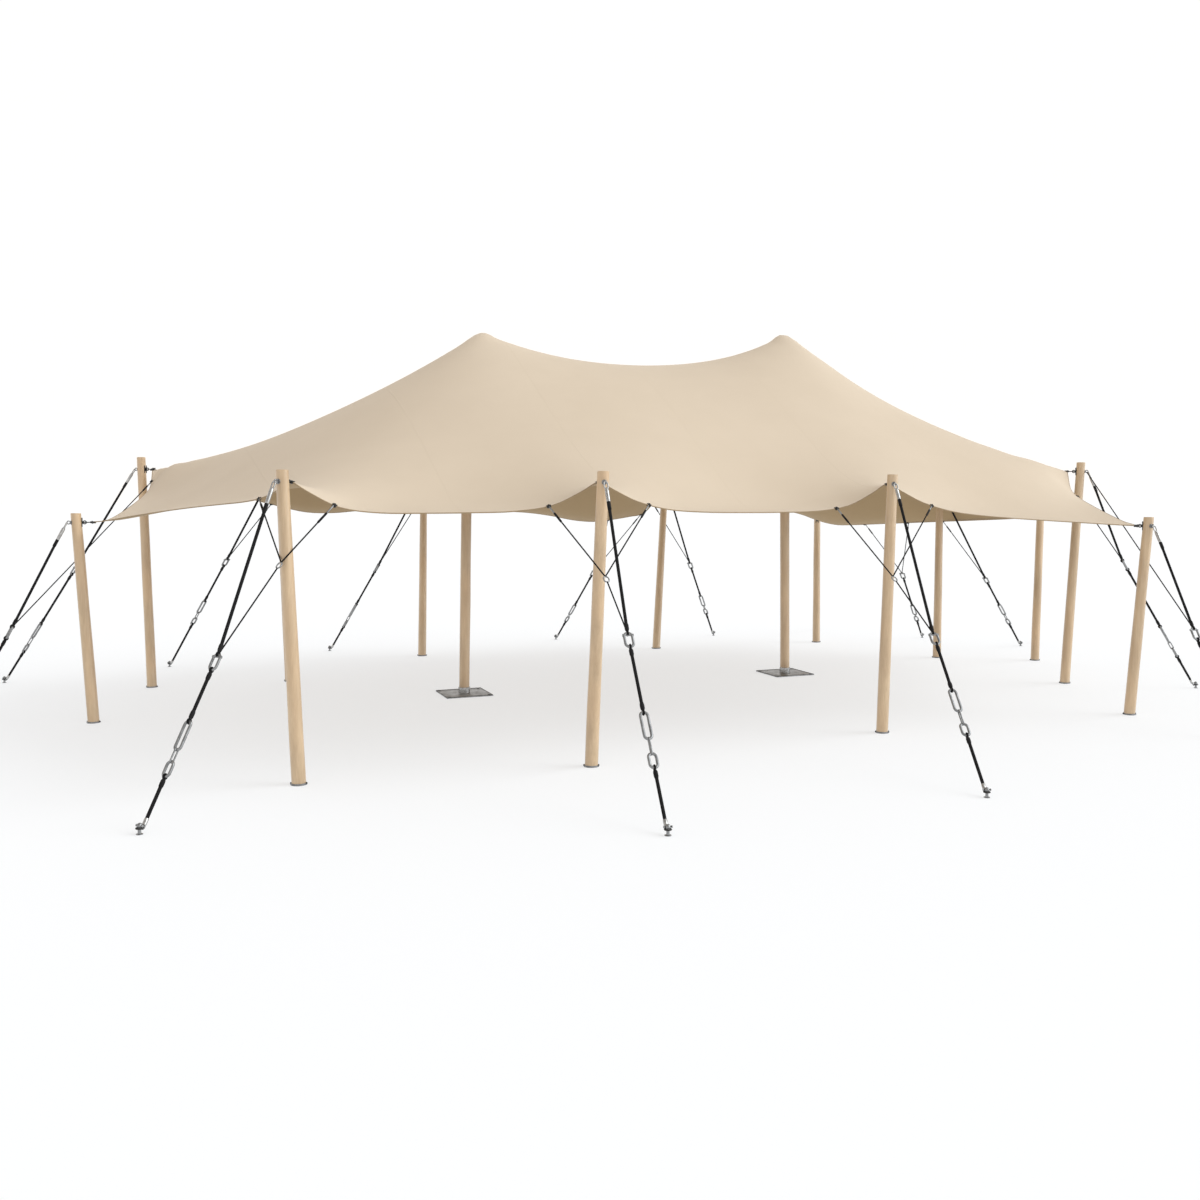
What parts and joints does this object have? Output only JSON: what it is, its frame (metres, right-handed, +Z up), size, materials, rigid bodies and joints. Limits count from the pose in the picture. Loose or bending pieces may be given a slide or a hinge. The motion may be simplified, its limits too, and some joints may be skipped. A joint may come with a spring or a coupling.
{
  "type": "stretch tent",
  "caption": "Free-form stretch fabric canopy over two tall masts and leaning side poles, guyed to ground stakes by ropes with steel links",
  "frame": {"origin": "on the ground, in the middle of the rectangle that the ground stakes span", "axes": "+Z up, X along the line between the two masts, and the front with the longest open side faces -Y"},
  "size_m": [15.952, 11.352, 4.7259],
  "materials": {
    "canvas": "smooth matte stretch fabric",
    "pine": "peeled and sealed round timber",
    "galvanised_steel": "dull zinc coating",
    "black_rope": "braided rope with dull zinc-coated links"
  },
  "bodies": {
    "root": {"canopy": "canvas", "mast_left": "pine", "mast_right": "pine", "mast_base_left": "galvanised_steel", "mast_base_right": "galvanised_steel", "pole_left_low": "pine", "pole_front_left": "pine", "pole_front_middle": "pine", "pole_front_right": "pine", "pole_right_low": "pine", "pole_right_tall": "pine", "pole_right_end": "pine", "pole_right_rear": "pine", "pole_back_right": "pine", "pole_back_mid_right": "pine", "pole_back_mid_left": "pine", "pole_back_left": "pine", "pole_left_tall": "pine", "guy_left_low": "black_rope", "guy_front_left": "black_rope", "guy_front_middle": "black_rope", "guy_front_right": "black_rope", "guy_right_low": "black_rope", "guy_right_tall": "black_rope", "guy_right_end": "black_rope", "guy_right_rear": "black_rope", "guy_back_right": "black_rope", "guy_back_mid_right": "black_rope", "guy_back_mid_left": "black_rope", "guy_back_left": "black_rope", "guy_left_tall": "black_rope", "guy_hem_back": "black_rope", "guy_hem_right": "black_rope", "stake_left_low": "galvanised_steel", "stake_front_left": "galvanised_steel", "stake_front_middle": "galvanised_steel", "stake_front_right": "galvanised_steel", "stake_right_low": "galvanised_steel", "stake_right_tall": "galvanised_steel", "stake_right_end": "galvanised_steel", "stake_right_rear": "galvanised_steel", "stake_back_right": "galvanised_steel", "stake_back_mid_right": "galvanised_steel", "stake_back_mid_left": "galvanised_steel", "stake_back_left": "galvanised_steel", "stake_left_tall": "galvanised_steel", "stake_hem_back": "galvanised_steel", "stake_hem_right": "galvanised_steel"}
  },
  "joints": []
}
